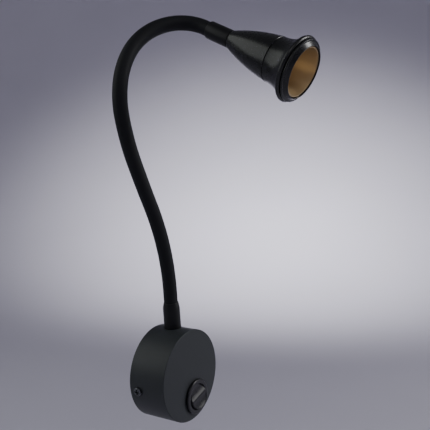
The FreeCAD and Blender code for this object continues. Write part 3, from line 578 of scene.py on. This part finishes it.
gloss_black = glossy_nylon()
bezel_outline = softened(
    [
        (0.0, DRUM_DEPTH - BARREL_DEEP, 0.0),
        (BARREL_RADIUS, DRUM_DEPTH - BARREL_DEEP, 0.4 * MM),
        (BARREL_RADIUS, DRUM_DEPTH, 0.0),
        (BEZEL_RADIUS, DRUM_DEPTH, 0.15 * MM),
        (BEZEL_RADIUS, DRUM_DEPTH + BEZEL_TALL, 1.5 * MM),
        (WELL_RADIUS, DRUM_DEPTH + BEZEL_TALL, 0.5 * MM),
        (WELL_RADIUS, DRUM_DEPTH + BEZEL_TALL - WELL_DEEP, 0.2 * MM),
        (0.0, DRUM_DEPTH + BEZEL_TALL - WELL_DEEP, 0.0),
    ]
)
bezel = surface("switch_bezel", in_switch(spun(bezel_outline), False))
finish_piece(bezel, gloss_black, "base", "gloss_black", "switch_housing")
rocker = surface("rocker_cap", in_switch(rocker_grid(), True))
finish_piece(rocker, gloss_black, "rocker", "gloss_black", "switch_rocker")


MARK_RIB = 0.22 * MM
MARK_PROUD = 0.10 * MM
RING_MARK_RADIUS = 1.25 * MM
BAR_MARK_HALF_WIDE = 0.14 * MM
BAR_MARK_HALF_TALL = 1.35 * MM


def mark_grid(path):
    """A low rounded rib along a closed path of (x, y) points on the rocker's dished face.

    Its section is half an ellipse: the rib's width times cos a, its height times sin a.
    """
    ahead = np.roll(path, -1, axis=0) - np.roll(path, 1, axis=0)
    side = np.stack([ahead[:, 1], -ahead[:, 0]], axis=1)
    side /= np.linalg.norm(side, axis=1)[:, None]
    angle = np.linspace(0.0, 2 * np.pi, 12, endpoint=False)
    off_path = MARK_RIB * np.cos(angle)
    lift = MARK_PROUD * np.sin(angle)
    flat = path[None] + off_path[:, None, None] * side[None]
    height = ROCKER_RISE - dish(flat[..., 1]) + lift[:, None]
    return np.concatenate([flat, height[..., None]], axis=2)


turn = np.linspace(0.0, 2 * np.pi, 72, endpoint=False)
circle = np.stack([np.cos(turn), np.sin(turn)], axis=1)
for mark_name, half_sizes, middle in (
    ("rocker_mark_ring", (RING_MARK_RADIUS, RING_MARK_RADIUS), -DISH_MIDDLE),
    ("rocker_mark_bar", (BAR_MARK_HALF_WIDE, BAR_MARK_HALF_TALL), DISH_MIDDLE),
):
    grid = mark_grid(circle * np.array(half_sizes) + np.array([0.0, middle]))
    mark = surface(mark_name, in_switch(grid, True), loop=True)
    finish_piece(mark, gloss_black, "rocker", "gloss_black")


# --- Gooseneck -------------------------------------------------------------------------
# A flexible steel core in a smooth black plastic sleeve. The sleeve is one skin from end
# to end: each stretch here runs from the middle of one link to the middle of the next,
# over the hinge between them.
SKIN_RADIUS = 4.55 * MM
FOOT = np.array([0.0, -12.0, 30.0]) * MM
SKIN_START = 1.6 * MM
HEAD_RUN = 18.0 * MM
SKIN_END = 14.0 * MM
RINGS_PER_LINK = 24
AROUND = 64

bends = [j for j in frame["joints"] if j["name"].startswith("neck_")]
hinges = np.array([j["pos_m"] for j in bends])
LINKS = len(hinges)


def unit(vector):
    """The direction of a vector."""
    return vector / np.linalg.norm(vector)


# A bend leaves its far hinge as its first direction mirrored in the line between the two.
directions = [unit(hinges[0] - FOOT)]
for chord in hinges[1:] - hinges[:-1]:
    along = unit(chord)
    directions.append(2 * (along @ directions[-1]) * along - directions[-1])
HEAD_POINT = hinges[-1] + directions[-1] * HEAD_RUN


def neck_line(link, share):
    """Points and directions on one link's middle line, at shares 0 to 1 of its length.

    The first and last links are straight. The others are arcs: start, plus radius times
    the sine of the turn so far along the first direction, plus radius times one less its
    cosine towards the arc's middle.
    """
    share = np.asarray(share)[:, None]
    if link in (0, LINKS):
        start = FOOT + directions[0] * SKIN_START if link == 0 else hinges[-1]
        end = hinges[0] if link == 0 else hinges[-1] + directions[-1] * SKIN_END
        points = start + (end - start) * share
        return points, np.broadcast_to(unit(end - start), points.shape)
    start, end, first = hinges[link - 1], hinges[link], directions[link - 1]
    chord = end - start
    length = np.linalg.norm(chord)
    half_turn = math.acos(min(1.0, first @ chord / length))
    radius = length / (2 * math.sin(half_turn))
    inward = unit(chord - (first @ chord) * first)
    turned = 2 * half_turn * share
    points = start + radius * (np.sin(turned) * first + (1 - np.cos(turned)) * inward)
    return points, np.cos(turned) * first + np.sin(turned) * inward


def tube_grid(points, ways, radius, around=AROUND):
    """Rings square to a line: each starts from the side nearest the row's X axis.

    The ends close on their middle points, which surface() merges into poles.
    """
    side = np.array([1.0, 0.0, 0.0]) - ways[:, :1] * ways
    side /= np.linalg.norm(side, axis=1)[:, None]
    up = np.cross(ways, side)
    turn = np.linspace(0.0, 2.0 * np.pi, around, endpoint=False)
    ring = np.cos(turn)[None, :, None] * side[:, None] + np.sin(turn)[None, :, None] * up[:, None]
    body = points[:, None] + radius * ring
    caps = [np.repeat(points[at][None, None], around, axis=1) for at in (0, -1)]
    return np.concatenate([caps[0], body, caps[1]])


def sleeve_plastic():
    """Matt black plastic sleeving: a bluish black that stays soft even where it is lit."""
    return grained("matt_black_sleeving", "#0F1116", "#0B0D11", 0.8, 0.6, bump=0.05, IOR=1.36)


neck_finish = sleeve_plastic()
for bend in range(1, LINKS + 1):
    from_share = 0.0 if bend == 1 else 0.5
    to_share = 1.0 if bend == LINKS else 0.5
    head_part = neck_line(bend - 1, np.linspace(from_share, 1.0, RINGS_PER_LINK))
    tail_part = neck_line(bend, np.linspace(0.0, to_share, RINGS_PER_LINK)[1:])
    points = np.vstack([head_part[0], tail_part[0]])
    ways = np.vstack([head_part[1], tail_part[1]])
    stretch = surface(f"neck_sleeving_{bend}", tube_grid(points, ways, SKIN_RADIUS))
    stretch.data.materials.append(neck_finish)
    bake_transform(stretch)
    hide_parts(f"neck_skin_{bend}", *(["neck_skin_0"] if bend == 1 else []))

# Spring steel wire, blackened: what little shows of the core between two links is dark.
core_steel = grained("blackened_spring_steel", "#2A2B2E", "#1E1F22", 0.8, 0.45, metallic=0.6)
dress(core_steel, *(f"neck_core_{link}" for link in range(LINKS + 1)))
# PVC wire cover: red, with a soft gloss.
wire_cover = grained("red_wire_cover", "#A02822", "#93231E", 1.0, 0.42, bump=0.02)
dress(wire_cover, *(f"neck_leads_{link}" for link in range(LINKS + 1)))


# --- Collars at the neck's two ends ------------------------------------------------------
# Black plastic collars pushed over the neck: one stands on the drum, cut to its curve, and
# one runs into the head. The first tapers to the neck; the second ends in a small round lip.
COLLAR_BORE = 4.6 * MM
LOW_COLLAR = 5.55 * MM
LOW_COLLAR_LONG = 17.0 * MM
LOW_COLLAR_TAPER = 3.5 * MM
LOW_COLLAR_LIP = 0.3 * MM
TOP_COLLAR = 5.5 * MM
TOP_COLLAR_LONG = 13.8 * MM
TOP_COLLAR_END = 2.9 * MM
LIP_SOFT = 0.6 * MM
COLLAR_END_SOFT = 0.2 * MM
NEAR_ZERO = 0.01 * MM


def aligned(grid, at, way):
    """Carries points from a frame with z along a direction to the row's."""
    side = unit(np.array([1.0, 0.0, 0.0]) - way[0] * way)
    return grid @ np.stack([side, np.cross(way, side), way]) + at


def coped_collar():
    """A tube along the neck whose lower end follows the drum's round side.

    For each line along the tube, the lower end is where the line meets the drum: the
    larger root of a quadratic in the distance along it.
    """
    section = softened(
        [
            (COLLAR_BORE, 0.0, 0.0),
            (LOW_COLLAR, 0.0, 0.0),
            (LOW_COLLAR, LOW_COLLAR_LONG - LOW_COLLAR_TAPER, 2 * LOW_COLLAR_TAPER),
            (COLLAR_BORE + LOW_COLLAR_LIP, LOW_COLLAR_LONG, COLLAR_END_SOFT),
            (COLLAR_BORE, LOW_COLLAR_LONG, 0.0),
        ]
    )
    flat = spun(section * np.array([1.0, 0.0]), 128)
    ring = aligned(flat, FOOT, directions[0])
    way = directions[0]
    a = way[0] ** 2 + way[2] ** 2
    b = ring[..., 0] * way[0] + ring[..., 2] * way[2]
    c = ring[..., 0] ** 2 + ring[..., 2] ** 2 - DRUM_RADIUS**2
    meet = (-b + np.sqrt(b**2 - a * c)) / a
    along = np.where(section[:, 1:] < NEAR_ZERO, meet, section[:, 1:])
    return ring + along[..., None] * way


def collar_plastic():
    """Moulded collar: black, slightly less matt than the neck."""
    return grained("satin_black_collar", "#101114", "#0C0D0F", 1.2, 0.42, bump=0.03, IOR=1.4)


collar_finish = collar_plastic()
low_collar = surface("foot_collar", coped_collar(), loop=True)
finish_piece(low_collar, collar_finish, "base", "gloss_black", "lower_sleeve")
top_outline = softened(
    [
        (COLLAR_BORE, -TOP_COLLAR_LONG, COLLAR_END_SOFT),
        (COLLAR_BORE, TOP_COLLAR_END, 0.0),
        (TOP_COLLAR, TOP_COLLAR_END, 0.15 * MM),
        (TOP_COLLAR, -TOP_COLLAR_LONG, LIP_SOFT),
    ]
)
top_grid = aligned(spun(top_outline, 128), HEAD_POINT, directions[-1])
top_collar = surface("head_collar", top_grid, loop=True)
finish_piece(top_collar, collar_finish, "head", "gloss_black", "upper_sleeve")


# --- Head ------------------------------------------------------------------------------
# Two spun aluminium halves, lacquered black and glossy: a long swelling cone behind, and a
# flared bell in front with a rolled bead, a stepped ring and a lip. A thin seam parts them.
CONE_START = 3.0 * MM
CONE_LONG = 36.0 * MM
CONE_BACK = 5.7 * MM
CONE_BULGE = 120.0 * MM
CONE_EDGE = 0.4 * MM
SEAM_RADIUS = 13.9 * MM
SEAM_GAP = 0.35 * MM
SEAM_EDGE = 0.15 * MM
THREAD_RADIUS = 4.05 * MM
THREAD_END = 6.0 * MM
THREAD_BOSS = 4.7 * MM
HOLLOW_END = 9.8 * MM
SINK_SEAT = 24.4 * MM
SINK_POCKET = 10.95 * MM
SPIGOT = 12.0 * MM
SPIGOT_CLEAR = 0.05 * MM
SPIGOT_START = 31.0 * MM
SPIGOT_WALL = 1.2 * MM
BELL_FLARE = 22.0 * MM
BELL_END = 49.6 * MM
BELL_END_RADIUS = 18.2 * MM
BELL_WALL = 1.3 * MM
BEAD_FOOT = 18.8 * MM
BEAD_LONG = 2.6 * MM
BEAD_ROUND = 1.318 * MM
GROOVE_RADIUS = 17.9 * MM
GROOVE_LONG = 0.5 * MM
RING_RADIUS = 18.7 * MM
RING_LONG = 1.2 * MM
LIP_START = 17.6 * MM
LIP_END = 56.0 * MM
LIP_END_RADIUS = 15.9 * MM
MOUTH_RADIUS = 15.4 * MM
MOUTH_LAND = 0.8 * MM
LIP_WALL = 0.8 * BELL_WALL


def head_lacquer():
    """Stoved lacquer over spun metal: deep black and glossy, with a very faint peel."""
    return grained("black_stoved_lacquer", "#0F1110", "#0B0D0C", 1.6, 0.28, bump=0.006, IOR=1.52)


def on_head(grid):
    """Carries points from the head's own frame, z forwards from its collar, to the row's."""
    return aligned(grid, HEAD_POINT, directions[-1])


lacquer = head_lacquer()
cone_outline = softened(
    [
        (THREAD_RADIUS, CONE_START, 0.1 * MM),
        (CONE_BACK - CONE_EDGE, CONE_START, 0.2 * MM),
        *bowed(
            (CONE_BACK, CONE_START + CONE_EDGE),
            (SEAM_RADIUS, CONE_LONG - SEAM_EDGE),
            -CONE_BULGE,
            40,
        ),
        (SEAM_RADIUS - SEAM_EDGE, CONE_LONG, 0.0),
        (SPIGOT + SPIGOT_CLEAR, CONE_LONG, 0.1 * MM),
        (SPIGOT + SPIGOT_CLEAR, SPIGOT_START, 0.0),
        (SINK_POCKET, SPIGOT_START, 0.0),
        (SINK_POCKET, SINK_SEAT, 0.0),
        (HOLLOW_END, SINK_SEAT, 0.0),
        (THREAD_BOSS, THREAD_END, 0.0),
        (THREAD_RADIUS, THREAD_END, 0.0),
    ],
    5,
)
cone = surface("head_cone", on_head(spun(cone_outline, 192)), loop=True)
finish_piece(cone, lacquer, "head", "head_paint", "rear_cone")

seam = CONE_LONG + SEAM_GAP
bead_end = BELL_END + BEAD_LONG
ring_start = bead_end + GROOVE_LONG
ring_end = ring_start + RING_LONG
bell_outline = softened(
    [
        (SPIGOT, SPIGOT_START, 0.1 * MM),
        (SPIGOT, seam, 0.0),
        (SEAM_RADIUS - SEAM_EDGE, seam, 0.0),
        *bowed((SEAM_RADIUS, seam + SEAM_EDGE), (BELL_END_RADIUS, BELL_END), BELL_FLARE, 32),
        *bowed((BEAD_FOOT, BELL_END), (BEAD_FOOT, bead_end), -BEAD_ROUND, 16),
        (GROOVE_RADIUS, bead_end, 0.1 * MM),
        (GROOVE_RADIUS, ring_start, 0.1 * MM),
        (RING_RADIUS, ring_start, 0.3 * MM),
        (RING_RADIUS, ring_end, 0.35 * MM),
        (LIP_START, ring_end, 0.1 * MM),
        (LIP_END_RADIUS, LIP_END, 0.25 * MM),
        (MOUTH_RADIUS, LIP_END, 0.15 * MM),
        (MOUTH_RADIUS, LIP_END - MOUTH_LAND, 0.0),
        (LIP_START - LIP_WALL, ring_end, 0.0),
        *bowed(
            (BELL_END_RADIUS - BELL_WALL, BELL_END),
            (SEAM_RADIUS - BELL_WALL, seam + BELL_WALL),
            -BELL_FLARE - BELL_WALL,
            16,
        ),
        (SPIGOT - SPIGOT_WALL, seam, 0.3 * MM),
        (SPIGOT - SPIGOT_WALL, SPIGOT_START, 0.1 * MM),
    ],
    5,
)
bell = surface("head_bell", on_head(spun(bell_outline, 224)), loop=True)
finish_piece(bell, lacquer, "head", "head_paint", "front_bell")


# --- Inside the head ---------------------------------------------------------------------
# The finned heat sink, the light board with its chip and screws stay as built. The gold
# reflector fills the mouth: a thin spun cup, anodised gold and satin.
CUP_THROAT = 6.0 * MM
CUP_MOUTH = 15.0 * MM
CUP_THICK = 0.7 * MM
CUP_FLOOR = 29.0 * MM
CUP_COLLAR = 30.5 * MM
CUP_END = 55.2 * MM
CUP_BULGE = 97.0 * MM

# Bare aluminium from the mould, faintly frosted.
bare_alloy = grained("bare_aluminium", "#C4C6C8", "#AEB0B3", 0.8, 0.42, metallic=1.0, bump=0.08)
# White solder mask over the board's copper, satin.
solder_mask = grained("white_solder_mask", "#F0F0EC", "#E6E6E2", 0.6, 0.4, bump=0.02)
# Clear silicone over yellow phosphor: a soft waxy gloss.
phosphor = grained("phosphor_silicone", "#E8C440", "#DDB632", 0.5, 0.35, bump=0.02)
dress(bare_alloy, "heat_sink")
dress(solder_mask, "led_board")
dress(phosphor, "led_chip")
dress(zinc_plate, "board_screws")


def gold_anodised():
    """Spun aluminium anodised gold: satin, so that its reflections blur into soft bands."""
    return grained("gold_anodised_aluminium", "#C8B087", "#C0A87F", 6.0, 0.4, metallic=0.6)


cup_outline = softened(
    [
        (CUP_THROAT, CUP_FLOOR, 0.0),
        (CUP_THROAT + CUP_THICK, CUP_FLOOR, 0.1 * MM),
        *bowed((CUP_THROAT + CUP_THICK, CUP_COLLAR), (CUP_MOUTH, CUP_END), -CUP_BULGE, 30),
        *bowed(
            (CUP_MOUTH - CUP_THICK, CUP_END), (CUP_THROAT, CUP_COLLAR), CUP_BULGE - CUP_THICK, 30
        ),
    ],
    4,
)
cup = surface("gold_cup", on_head(spun(cup_outline, 192)), loop=True)
finish_piece(cup, gold_anodised(), "head", "gold_reflector", "reflector")
